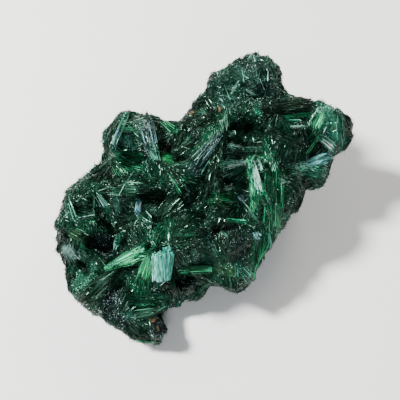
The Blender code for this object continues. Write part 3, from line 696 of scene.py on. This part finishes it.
class FibreField:
    """Which way the fibres run at each point of the mass, and how they look there."""

    def __init__(self, mesh, rng):
        metres = read_vectors(mesh.vertices, "co")
        self.points = metres / MM
        self.normals = read_vectors(mesh.vertex_normals, "vector")
        self.photo = Photo(mesh)
        self.seen = self.photo.sees(metres)
        self.pixels = self.photo.pixels(metres)
        self.wobble = noise_at(self.points, FIELD_WOBBLE_SCALE)
        count = len(metres)
        self.direction = np.zeros((count, 3))
        self.shade = np.zeros((count, 3))
        self.groove, self.step, self.cover, self.glint, self.crust, self.marked, self.velvet = (
            np.zeros(count) for _ in range(7))
        self.split_into_domains(rng)
        self.lay_marks()

    def split_into_domains(self, rng):
        """Give each point the fibres and the finish of the domain that it is nearest to."""
        order = list(range(len(self.points)))
        rng.shuffle(order)
        self.centres = []
        for index in order[:DOMAIN_TRIES]:
            gaps = np.linalg.norm(self.points[self.centres] - self.points[index], axis=1)
            if not self.centres or gaps.min() > DOMAIN_SPACING:
                self.centres.append(index)
        gaps = np.stack([np.linalg.norm(self.points - self.points[c], axis=1) for c in self.centres], axis=1)
        warp = noise_at(self.points, DOMAIN_EDGE_SCALE)
        gaps += warp[:, None] * np.array([rng.uniform(-DOMAIN_EDGE_SHIFT, DOMAIN_EDGE_SHIFT)
                                          for _ in self.centres])
        owner = gaps.argmin(axis=1)
        for number, centre in enumerate(self.centres):
            self.lay_domain(np.flatnonzero(owner == number), centre, rng)

    def lay_domain(self, own, centre, rng):
        normal = self.normals[centre]
        heading = normalised(np.cross(normal, [rng.gauss(0, 1) for _ in range(3)]))
        root = self.points[centre] - heading * rng.uniform(*FAN_ROOT_BEHIND)
        root = root - normal * rng.uniform(*FAN_ROOT_BELOW)
        away = self.points[own] - root
        flat = away - self.normals[own] * (away * self.normals[own]).sum(axis=1)[:, None]
        self.direction[own] = normalised(flat)
        across = normalised(np.cross(self.normals[own].mean(axis=0), heading))
        angle = np.arctan2(away @ across, away @ heading)
        self.groove[own] = angle * np.linalg.norm(away, axis=1).mean()
        finish = FINISHES[rng.choice(DOMAIN_FINISHES)]
        self.cover[own], self.glint[own], self.crust[own] = finish.cover, finish.glint, finish.crust
        self.shade[own] = rgb(finish.ground) * rng.uniform(*DOMAIN_SHADE)
        self.step[own] = rng.uniform(-1, 1)

    def lay_marks(self):
        """Turn the fibres and change the finish where the marks and the velvet lie."""
        right, up = np.array(self.photo.axes.col[0]), np.array(self.photo.axes.col[1])
        sight = normalised(self.points * MM - np.array(CAMERA_PLACE))
        for mark in MARKS:
            weight, side = mark_reach(self.pixels, mark.root, mark.tip, mark.root_half, mark.tip_half,
                                      self.wobble)
            weight = weight * self.seen
            finish = FINISHES[mark.finish]
            self.shade += (rgb(finish.ground) - self.shade) * weight[:, None]
            self.cover += (finish.cover - self.cover) * weight
            self.glint += (finish.glint - self.glint) * weight
            self.crust += (finish.crust - self.crust) * weight
            self.marked = np.maximum(self.marked, weight)
            own = np.flatnonzero(weight > LEAST_OWN_WEIGHT)
            run = np.array(mark.tip, float) - np.array(mark.root, float)
            length = np.linalg.norm(run)
            across = np.array((-run[1], run[0])) / length
            slant = np.clip(side[own], -WIDEST_SIDE, WIDEST_SIDE) * (mark.tip_half - mark.root_half) / length
            flat = run / length + across * slant[:, None]
            wanted = flat[:, :1] * right - flat[:, 1:] * up
            lie = np.cross(self.normals[own], np.cross(sight[own], wanted))
            lie *= np.sign((lie * wanted).sum(axis=1))[:, None]
            self.direction[own] = normalised(lie)
            self.groove[own] = side[own] * (mark.root_half + mark.tip_half) / 2 * GROOVE_MM_A_PIXEL
            self.step[own] *= STEP_LEFT_IN_MARKS
        for root, tip, half in VELVET:
            weight, _side = mark_reach(self.pixels, root, tip, half, half, self.wobble)
            self.velvet = np.maximum(self.velvet, weight * self.seen)


def raise_fine_relief(obj, field):
    """Grooves along the fibres and small steps between the domains."""
    groove = np.sin(field.groove * math.tau / GROOVE_PITCH)
    grain = np.array([noise.fractal(Vector(p) * GRAIN_SCALE, GRAIN_FALL, GRAIN_FINER, GRAIN_OCTAVES)
                      for p in field.points])
    fibrous = field.cover * (1 - field.crust)
    lift = groove * fibrous * GROOVE_HEIGHT + grain * GRAIN_HEIGHT + field.step * DOMAIN_STEP
    lift *= smooth_step(field.points[:, 2] / RELIEF_FADE)
    move_points(obj.data, field.points * MM + field.normals * lift[:, None] * MM)


def store_field(mesh, field):
    """Write what the needles and the materials read from the mass."""
    above_floor = smooth_step((field.points[:, 2] - FLOOR_CLEARANCE) / COVER_FADE)
    turned_up = smooth_step((field.normals[:, 2] - UNDERSIDE_NORMAL) * UNDERSIDE_SHARPNESS)
    mottle = 1.0 + MOTTLE * noise_at(field.points, MOTTLE_SCALE)
    gather = np.clip(GATHER_MEAN + GATHER_SWING * noise_at(field.points, GATHER_SCALE), *GATHER_LIMITS)
    write_attribute(mesh, "fibre", field.direction)
    write_attribute(mesh, "shade", field.shade * mottle[:, None])
    write_attribute(mesh, "cover", field.cover * above_floor * turned_up)
    write_attribute(mesh, "crust", field.crust * above_floor * turned_up)
    write_attribute(mesh, "glint", field.glint)
    # Where the pale needles painted as glints grow: thickest where the glint share gathers, none on the
    # crust.
    write_attribute(mesh, "bright", (field.glint + VELVET_PAINTED_GLINTS * field.velvet) * gather * (1 - field.crust))
    write_attribute(mesh, "lift", NEEDLE_LIFT + field.velvet * VELVET_LIFT)
    write_attribute(mesh, "jumble", field.velvet * VELVET_JUMBLE)
    write_attribute(mesh, "span", 1.0 - field.velvet * VELVET_SHORTER)
    write_attribute(mesh, "groove", field.groove)


def add_node(tree, kind, inputs=None, output=0, **settings):
    """Add a node with its settings, and give one of its outputs; an input is a value or another output."""
    node = tree.nodes.new(kind)
    for name, value in settings.items():
        setattr(node, name, value)
    for name, value in (inputs or {}).items():
        if isinstance(value, bpy.types.NodeSocket):
            tree.links.new(value, node.inputs[name])
        else:
            node.inputs[name].default_value = value
    return node.outputs[output] if len(node.outputs) else None


# The two kinds of node that are added most.
MATH = "ShaderNodeMath"
VECTOR_MATH = "ShaderNodeVectorMath"


def needle_tree():
    """Crystals of one form strewn over a surface along its fibres."""
    tree = bpy.data.node_groups.new("strewn needles", "GeometryNodeTree")
    face = tree.interface
    face.new_socket("Geometry", in_out="INPUT", socket_type="NodeSocketGeometry")
    for name in ("Needles per mm2", "Length mm", "Width mm", "Lift", "Jitter", "Sink mm", "Glints"):
        face.new_socket(name, in_out="INPUT", socket_type="NodeSocketFloat")
    face.new_socket("Seed", in_out="INPUT", socket_type="NodeSocketInt")
    face.new_socket("Where", in_out="INPUT", socket_type="NodeSocketString")
    face.new_socket("Material", in_out="INPUT", socket_type="NodeSocketMaterial")
    face.new_socket("Geometry", in_out="OUTPUT", socket_type="NodeSocketGeometry")
    entry = tree.nodes.new("NodeGroupInput").outputs

    field = {name: add_node(tree, "GeometryNodeInputNamedAttribute", {"Name": name}, data_type="FLOAT")
             for name in ("lift", "jumble", "span", "glint")}
    fibre = add_node(tree, "GeometryNodeInputNamedAttribute", {"Name": "fibre"}, data_type="FLOAT_VECTOR")
    share = add_node(tree, "GeometryNodeInputNamedAttribute", {"Name": entry["Where"]}, data_type="FLOAT")
    lot = {}
    for offset, (name, (low, high)) in enumerate(NEEDLE_CHANCES.items(), 1):
        seed = add_node(tree, "FunctionNodeIntegerMath", {0: entry["Seed"], 1: offset}, operation="ADD")
        vector = isinstance(low, tuple)
        first = 0 if vector else 2
        lot[name] = add_node(tree, "FunctionNodeRandomValue", {"Seed": seed, first: low, first + 1: high},
                             output=0 if vector else 1, data_type="FLOAT_VECTOR" if vector else "FLOAT")

    per_metre = add_node(tree, MATH, {0: entry["Needles per mm2"], 1: MM ** -2}, operation="MULTIPLY")
    density = add_node(tree, MATH, {0: per_metre, 1: share}, operation="MULTIPLY")
    points = add_node(tree, "GeometryNodeDistributePointsOnFaces",
                      {"Mesh": entry["Geometry"], "Density": density, "Seed": entry["Seed"]})
    normal = points.node.outputs["Normal"]

    # The way a needle points: along the fibres, lifted off the surface, and astray.
    lifted = add_node(tree, MATH, {0: field["lift"], 1: entry["Lift"]}, operation="ADD")
    angle = add_node(tree, MATH, {0: lifted, 1: lot["lean"]}, operation="ADD")
    sine = add_node(tree, MATH, {0: angle}, operation="SINE")
    cosine = add_node(tree, MATH, {0: angle}, operation="COSINE")
    rise = add_node(tree, VECTOR_MATH, {0: normal, "Scale": sine}, operation="SCALE")
    run = add_node(tree, VECTOR_MATH, {0: fibre, "Scale": cosine}, operation="SCALE")
    jitter = add_node(tree, MATH, {0: entry["Jitter"], 1: field["jumble"]}, operation="ADD")
    stray = add_node(tree, VECTOR_MATH, {0: lot["stray"], "Scale": jitter}, operation="SCALE")
    upright = add_node(tree, VECTOR_MATH, {0: rise, 1: run}, operation="ADD")
    heading = add_node(tree, VECTOR_MATH, {0: upright, 1: stray}, operation="ADD")
    aligned = add_node(tree, "FunctionNodeAlignRotationToVector", {"Vector": heading}, axis="Z")
    spin = add_node(tree, "FunctionNodeAxisAngleToRotation", {"Axis": (0.0, 0.0, 1.0), "Angle": lot["spin"]})
    turned = add_node(tree, "FunctionNodeRotateRotation", {"Rotation": aligned, "Rotate By": spin},
                      rotation_space="LOCAL")

    wide = add_node(tree, MATH, {0: lot["width"], 1: MM}, operation="MULTIPLY")
    width = add_node(tree, MATH, {0: entry["Width mm"], 1: wide}, operation="MULTIPLY")
    mean_length = add_node(tree, MATH, {0: entry["Length mm"], 1: field["span"]}, operation="MULTIPLY")
    long = add_node(tree, MATH, {0: lot["length"], 1: MM}, operation="MULTIPLY")
    length = add_node(tree, MATH, {0: mean_length, 1: long}, operation="MULTIPLY")
    size = add_node(tree, "ShaderNodeCombineXYZ", {"X": width, "Y": width, "Z": length})

    stem = add_node(tree, "GeometryNodeMeshCone", {"Vertices": 3, "Radius Top": 0.5, "Radius Bottom": 0.0,
                                                   "Depth": NEEDLE_STEM}, fill_type="NONE")
    point = add_node(tree, "GeometryNodeMeshCone", {"Vertices": 3, "Radius Top": 0.0, "Radius Bottom": 0.5,
                                                    "Depth": NEEDLE_POINT}, fill_type="NONE")
    lowered = add_node(tree, "GeometryNodeTransform", {"Geometry": stem, "Translation": (0, 0, -0.5)})
    raised = add_node(tree, "GeometryNodeTransform",
                      {"Geometry": point, "Translation": (0, 0, NEEDLE_STEM - 0.5)})
    both = add_node(tree, "GeometryNodeJoinGeometry", {0: lowered})
    tree.links.new(raised, both.node.inputs[0])
    needle = add_node(tree, "GeometryNodeMergeByDistance", {"Geometry": both, "Distance": NEEDLE_WELD})

    deep = add_node(tree, MATH, {0: entry["Sink mm"], 1: -MM}, operation="MULTIPLY")
    inwards = add_node(tree, VECTOR_MATH, {0: normal, "Scale": deep}, operation="SCALE")
    sunk = add_node(tree, "GeometryNodeSetPosition", {"Geometry": points, "Offset": inwards})
    placed = add_node(tree, "GeometryNodeInstanceOnPoints",
                      {"Points": sunk, "Instance": needle, "Rotation": turned, "Scale": size})
    marked = add_node(tree, "GeometryNodeStoreNamedAttribute",
                      {"Geometry": placed, "Name": "chance", "Value": lot["chance"]},
                      data_type="FLOAT", domain="INSTANCE")
    glint = add_node(tree, MATH, {0: field["glint"], 1: entry["Glints"]}, operation="MULTIPLY")
    glinting = add_node(tree, "GeometryNodeStoreNamedAttribute",
                        {"Geometry": marked, "Name": "glint", "Value": glint},
                        data_type="FLOAT", domain="INSTANCE")
    real = add_node(tree, "GeometryNodeRealizeInstances", {"Geometry": glinting})
    dressed = add_node(tree, "GeometryNodeSetMaterial", {"Geometry": real, "Material": entry["Material"]})
    add_node(tree, "NodeGroupOutput", {0: dressed})
    return tree


def strew(name, surface, tree, material):
    """A piece of needles: the surface's mesh, put through the tree and made plain."""
    obj = link(bpy.data.objects.new(name, surface.data.copy()))
    grow = obj.modifiers.new("needles", "NODES")
    grow.node_group = tree
    values = {**STREWN[name], "Material": material}
    for item in tree.interface.items_tree:
        if item.in_out == "INPUT" and item.name in values:
            grow[item.identifier] = values[item.name]
    settle(obj)
    for spent in ("fibre", "cover", "crust", "bright", "lift", "jumble", "span", "groove"):
        if spent in obj.data.attributes:
            obj.data.attributes.remove(obj.data.attributes[spent])
    return obj


class Laths:
    """Gathers straight-grained laths, each a keeled blade, into one mesh."""

    def __init__(self):
        self.points, self.faces, self.shades = [], [], []

    def add(self, spots, halves, crown, roll, keel, shades):
        """A lath through the spots; keel is its thickness as a share of its width."""
        start = len(self.points)
        along = normalised(spots[-1] - spots[0])
        side = normalised(np.cross(along, crown))
        crown = np.cross(side, along)
        side, crown = (side * math.cos(roll) + crown * math.sin(roll),
                       crown * math.cos(roll) - side * math.sin(roll))
        for spot, half, shade in zip(spots, halves, shades):
            for offset in (-side * half, crown * half * keel, side * half, -crown * half * keel):
                self.points.append((spot + offset) * MM)
                self.shades.append(shade)
        last = start + 4 * (len(spots) - 1)
        self.faces.append((start, start + 3, start + 2, start + 1))
        for low in range(start, last, 4):
            self.faces += [(low + i, low + (i + 1) % 4, low + 4 + (i + 1) % 4, low + 4 + i)
                           for i in range(4)]
        self.faces.append((last, last + 1, last + 2, last + 3))

    def piece(self, name, material):
        """The mesh of all laths; none glints, and one chance for all keeps their shade nearly as it is."""
        mesh = bpy.data.meshes.new(name)
        mesh.from_pydata([tuple(p) for p in self.points], [], self.faces)
        count = len(self.points)
        write_attribute(mesh, "shade", np.clip(self.shades, 0, LATH_BRIGHTEST))
        write_attribute(mesh, "glint", np.zeros(count))
        write_attribute(mesh, "chance", np.full(count, LATH_CHANCE))
        mesh.materials.append(material)
        return link(bpy.data.objects.new(name, mesh))


def follow_surface(view, lines):
    """Spots on the surface under the lines, eased towards a straight lath, and the way they face."""
    hits = [view.on_surface(line) for line in lines]
    spots = np.array([h[0] for h in hits])
    crown = normalised(np.array([h[1] for h in hits]).mean(axis=0))
    straight = np.array([spots[0] + (spots[3] - spots[0]) * s / STATIONS[3] for s in STATIONS])
    stray = np.linalg.norm(spots - straight, axis=1, keepdims=True)
    eased = spots * LATH_BEND + straight * (1 - LATH_BEND)
    return np.where(stray > MOST_STRAY, straight, eased), crown


def lay_fan(laths, view, fan, rng):
    """Laths packed side by side from root to tip, each following its own line on the surface."""
    finish = FINISHES[fan.finish]
    gleam = min(MOST_GLEAM, finish.glint * GLEAM_A_GLINT)
    fray = min(1.0, fan.laths / FRAYED_LATHS)
    root, tip = np.array(fan.root, float), np.array(fan.tip, float)
    run = tip - root
    across = np.array((-run[1], run[0])) / np.linalg.norm(run)
    for layer in range(fan.layers):
        strands = [rng.gauss(0, 1) for _ in range(fan.laths // LATHS_A_STRAND + 1)]
        for k in range(fan.laths):
            share = 2 * (k + 0.5 + rng.uniform(-SIDE_SHIFT, SIDE_SHIFT)) / fan.laths - 1
            begin = max(0.0, rng.gauss(0.0, UNEVEN_ROOTS)) * fray + layer * rng.uniform(0, LAYER_ROOT_BACK)
            reach = (FAN_REACH - rng.uniform(0, UNEVEN_TIPS) * fray - ROUND_TIPS * share * share
                     - layer * rng.uniform(0, LAYER_TIP_BACK))
            steps = [begin + (reach - begin) * s for s in STATIONS]
            fan_halves = [fan.root_half + (fan.tip_half - fan.root_half) * s for s in steps]
            lines = [root + run * s + across * share * half for s, half in zip(steps, fan_halves)]
            spots, crown = follow_surface(view, lines)
            spots = spots + crown * (LATH_LIFT + GLEAM_LIFT * gleam + LONE_LIFT * (1 - fray)
                                     + layer * LAYER_LIFT + rng.uniform(*UNEVEN_LIFT))
            length = np.linalg.norm(spots[-1] - spots[0])
            gap = max(view.tree.find_nearest(Vector(spot * MM))[3] for spot in spots)
            free_span = LONG_FREE_SPAN if length > LONG_LATH else SHORT_FREE_SPAN
            if length < SHORTEST_LATH or gap > free_span * MM:
                continue
            crown = normalised(crown * (1 - gleam) + normalised(KEY_PLACE / MM - spots[0]) * gleam)
            roll = rng.uniform(-LATH_ROLL, LATH_ROLL) * (1 - GLEAM_ROLL * gleam)
            scale = length / np.linalg.norm(lines[-1] - lines[0])
            halves = [min(LATH_HALF[1], max(LATH_HALF[0], LATH_FILL * scale * half / fan.laths)) * swell
                      for half, swell in zip(fan_halves, SWELL)]
            tone = STRAND_TONE * strands[k // LATHS_A_STRAND] + rng.gauss(*LATH_TONE)
            bright = math.exp(tone * fan.contrast) * (1.0 - SIDE_DARKENING * share * share)
            keel = rng.uniform(*LATH_KEEL) * (1 - GLEAM_KEEL * gleam)
            shades = [rgb(finish.lath) * bright * math.exp(rng.gauss(0, SPOT_TONE + GLEAM_TONE * gleam))
                      for _ in spots]
            laths.add(spots, halves, crown, roll, keel, shades)


def build_sheaves(field, material, rng):
    """The fans that the marks name, and smaller ones over the rest of the mass."""
    laths = Laths()
    for mark in MARKS:
        lay_fan(laths, field.photo, mark, rng)
    fans = laths.piece("fans", material)
    laths = Laths()
    for centre in field.centres:
        point, normal = field.points[centre], field.normals[centre]
        if (field.marked[centre] > SMALL_FAN_MARKED or point[2] < SMALL_FAN_LOWEST
                or normal[2] < SMALL_FAN_NORMAL):
            continue
        heading = normalised(field.direction[centre] - normal * (field.direction[centre] @ normal))
        half = rng.uniform(*SMALL_FAN_HALF_LENGTH)
        finishes = SEEN_FANS if field.seen[centre] else UNSEEN_FANS
        fan = Mark("small_fan", (-half, 0), (half, 0), rng.uniform(*SMALL_FAN_ROOT_HALF),
                   rng.uniform(*SMALL_FAN_TIP_HALF), 0.0, rng.choice(finishes), SMALL_FAN_LATHS, 1,
                   SMALL_FAN_CONTRAST)
        lay_fan(laths, Facing(field.photo.tree, point, normal, heading), fan, rng)
    return [fans, laths.piece("small_fans", material)]


def build_columns(photo, material, rng):
    """Each column is a block of parallel laths grown side by side, with a ragged top."""
    laths = Laths()
    steps = np.linspace(0.0, 1.0, COLUMN_STATIONS)
    for column in COLUMNS:
        foot, top = photo.on_surface(column.foot)[0], photo.on_surface(column.top)[0]
        along = normalised(top - foot)
        side = normalised(np.cross(along, np.array(photo.axes.col[2])))
        crown = np.cross(side, along)
        for row in range(COLUMN_ROWS):
            for k in range(COLUMN_LATHS):
                place = (k + rng.uniform(-COLUMN_SIDE_SHIFT, COLUMN_SIDE_SHIFT)) / (COLUMN_LATHS - 1) - 0.5
                depth = (row / (COLUMN_ROWS - 1) - COLUMN_SUNK
                         + rng.uniform(-COLUMN_DEPTH_SHIFT, COLUMN_DEPTH_SHIFT)
                         - COLUMN_ROUNDNESS * place * place)
                forward = crown * (depth * column.thick + COLUMN_FORWARD)
                lower = column.fall * abs(place - COLUMN_PEAK) + rng.uniform(0, COLUMN_RAGGED_TOP)
                end = top + side * place * column.top_width + forward - along * lower
                start = (foot + side * place * column.foot_width + forward
                         + along * rng.uniform(-COLUMN_RAGGED_FOOT, COLUMN_RAGGED_FOOT))
                spots = start + (end - start) * steps[:, None]
                colour = rgb(FINISHES[column.finish].lath) * math.exp(rng.gauss(*COLUMN_LATH_TONE))
                halves = [COLUMN_LATH_HALF * rng.uniform(*COLUMN_LATH_SWELL) for _ in steps]
                roll = rng.uniform(-COLUMN_ROLL, COLUMN_ROLL)
                shades = [colour * math.exp(rng.gauss(0, COLUMN_SPOT_TONE)) for _ in steps]
                laths.add(spots, halves, crown, roll, COLUMN_KEEL, shades)
    return laths.piece("mint_columns", material)


def new_material(name, values):
    """A material with the values that are the same all over it, its node tree and its shader."""
    material = bpy.data.materials.new(name)
    material.use_nodes = True
    shader = material.node_tree.nodes["Principled BSDF"]
    for socket, value in values.items():
        shader.inputs[socket].default_value = value
    return material, material.node_tree, shader


def pick_painted_glints(tree, chance):
    """1 on crystals painted pale as glints, whose share the glint attribute gives, and 0 on the others."""
    glint = add_node(tree, "ShaderNodeAttribute", output="Fac", attribute_name="glint")
    edge = add_node(tree, MATH, {0: 1.0, 1: glint}, operation="SUBTRACT")
    return add_node(tree, MATH, {0: chance, 1: edge}, operation="GREATER_THAN")


def needle_material(name, roughness):
    """Fibrous malachite: fine crystals of silky lustre, each a little lighter or darker than the next.

    The bright ones are a painted highlight: pale along their whole length, as silky fibres look
    where they catch the light.
    """
    material, tree, shader = new_material(name, {"Roughness": roughness, "IOR": 1.6,
                                                 "Specular Tint": linear("#9edcbe")})
    chance = add_node(tree, "ShaderNodeAttribute", output="Fac", attribute_name="chance")
    shade = add_node(tree, "ShaderNodeAttribute", output="Vector", attribute_name="shade")
    skewed = add_node(tree, MATH, {0: chance, 1: 2.0}, operation="POWER")
    vary = add_node(tree, "ShaderNodeMapRange", {"Value": skewed, "To Min": 0.25, "To Max": 2.2})
    plain = add_node(tree, VECTOR_MATH, {0: shade, "Scale": vary}, operation="SCALE")
    # Painted glints: the shade made much lighter, and near white on some.
    tinted = add_node(tree, VECTOR_MATH, {0: shade, "Scale": 9.0}, operation="SCALE")
    bright = add_node(tree, "ShaderNodeMix", {0: skewed, 6: tinted, 7: linear("#e8fff4")}, output=2,
                      data_type="RGBA")
    colour = add_node(tree, "ShaderNodeMix", {0: pick_painted_glints(tree, chance), 6: plain, 7: bright}, output=2,
                      data_type="RGBA")
    tree.links.new(colour, shader.inputs["Base Color"])
    return material


def crust_material():
    """Black crust of manganese oxide: small grains on a charcoal ground, some painted pale as glints."""
    material, tree, shader = new_material("black manganese crust", {
        "Roughness": 0.25, "IOR": 1.45, "Specular Tint": linear("#8ec4c4")})
    chance = add_node(tree, "ShaderNodeAttribute", output="Fac", attribute_name="chance")
    dull = add_node(tree, "ShaderNodeMix", {0: chance, 6: linear("#030706"), 7: linear("#14242a")}, output=2,
                    data_type="RGBA")
    # Painted glints: pale bluish white on the grains that the glint share picks.
    colour = add_node(tree, "ShaderNodeMix", {0: pick_painted_glints(tree, chance), 6: dull, 7: linear("#cfe4f4")},
                      output=2, data_type="RGBA")
    tree.links.new(colour, shader.inputs["Base Color"])
    return material


def mass_material():
    """The mass between the needles: the same malachite, duller and finely striped along its fibres."""
    material, tree, shader = new_material("compact malachite", {
        "Roughness": 0.5, "IOR": 1.4, "Specular Tint": linear("#88c8a6")})
    groove = add_node(tree, "ShaderNodeAttribute", output="Fac", attribute_name="groove")
    shade = add_node(tree, "ShaderNodeAttribute", output="Vector", attribute_name="shade")
    place = add_node(tree, "ShaderNodeTexCoord", output="Object")
    # Fibre stripes about 0.4 mm wide, 2.4 to the millimetre of the groove attribute, which runs across them.
    stripe = add_node(tree, "ShaderNodeTexNoise", {"W": groove, "Scale": 2.4, "Detail": 3.0}, output="Fac",
                      noise_dimensions="1D")
    # Cloudy change of colour about 4 mm across, 260 to the metre.
    cloud = add_node(tree, "ShaderNodeTexNoise", {"Vector": place, "Scale": 260.0, "Detail": 3.0},
                     output="Fac")
    both = add_node(tree, MATH, {0: stripe, 1: cloud}, operation="MULTIPLY")
    vary = add_node(tree, "ShaderNodeMapRange", {"Value": both, "From Min": 0.1, "From Max": 0.5,
                                                 "To Min": 0.35, "To Max": 1.3})
    colour = add_node(tree, VECTOR_MATH, {0: shade, "Scale": vary}, operation="SCALE")
    tree.links.new(colour, shader.inputs["Base Color"])
    bump = add_node(tree, "ShaderNodeBump", {"Height": stripe, "Strength": 0.5, "Distance": 0.0003})
    tree.links.new(bump, shader.inputs["Normal"])
    return material


def floor_material():
    """Matt white studio board, which gives soft shadows and no reflection."""
    return new_material("white studio board", {"Roughness": 0.7, "Base Color": linear("#f2f2ee")})[0]


def build_floor():
    mesh = bpy.data.meshes.new("floor")
    reach = FLOOR_REACH
    mesh.from_pydata([(-reach, -reach, 0), (reach, -reach, 0), (reach, reach, 0), (-reach, reach, 0)], [],
                     [(0, 1, 2, 3)])
    mesh.materials.append(floor_material())
    link(bpy.data.objects.new("floor", mesh))


def build_camera():
    camera = bpy.data.cameras.new("camera")
    camera.sensor_width = SENSOR_MM
    camera.lens = FOCAL_PX * SENSOR_MM / PHOTO_SIDE
    camera.clip_start = CLIP_START
    obj = link(bpy.data.objects.new("camera", camera))
    obj.matrix_world = Matrix.Translation(CAMERA_PLACE) @ camera_axes().to_4x4()
    bpy.context.scene.camera = obj


def build_lights():
    for name, place, size, power, colour in LIGHTS:
        light = bpy.data.lights.new(name, "AREA")
        light.shape = "DISK"
        light.size = size
        light.energy = power
        light.color = linear(colour)[:3]
        obj = link(bpy.data.objects.new(name, light))
        obj.location = place
        obj.rotation_euler = (Vector(LIGHTS_AIM) - Vector(place)).to_track_quat("-Z", "Y").to_euler()
    world = bpy.data.worlds.new("studio")
    world.use_nodes = True
    background = world.node_tree.nodes["Background"]
    background.inputs["Color"].default_value = linear("#ffffff")
    background.inputs["Strength"].default_value = STUDIO_STRENGTH
    bpy.context.scene.world = world


def build_malachite():
    rng = random.Random(SEED)
    needles = needle_material("silky fibrous malachite", 0.22)
    blades = needle_material("satin malachite blades", 0.36)
    crust = crust_material()
    body = dense_mass()
    sculpt(body)
    field = FibreField(body.data, rng)
    raise_fine_relief(body, field)
    store_field(body.data, field)
    body.data.materials.clear()
    body.data.materials.append(mass_material())
    body.data.shade_flat()
    tree = needle_tree()
    pieces = [body]
    pieces += [strew(name, body, tree, crust if name == "black_crust" else needles) for name in STREWN]
    pieces.append(build_columns(field.photo, blades, rng))
    pieces += build_sheaves(field, blades, rng)
    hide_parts("malachite")
    for piece in pieces:
        move_points(piece.data, read_vectors(piece.data.vertices, "co"))
        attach(piece, "root")


build_camera()
build_malachite()
build_floor()
build_lights()
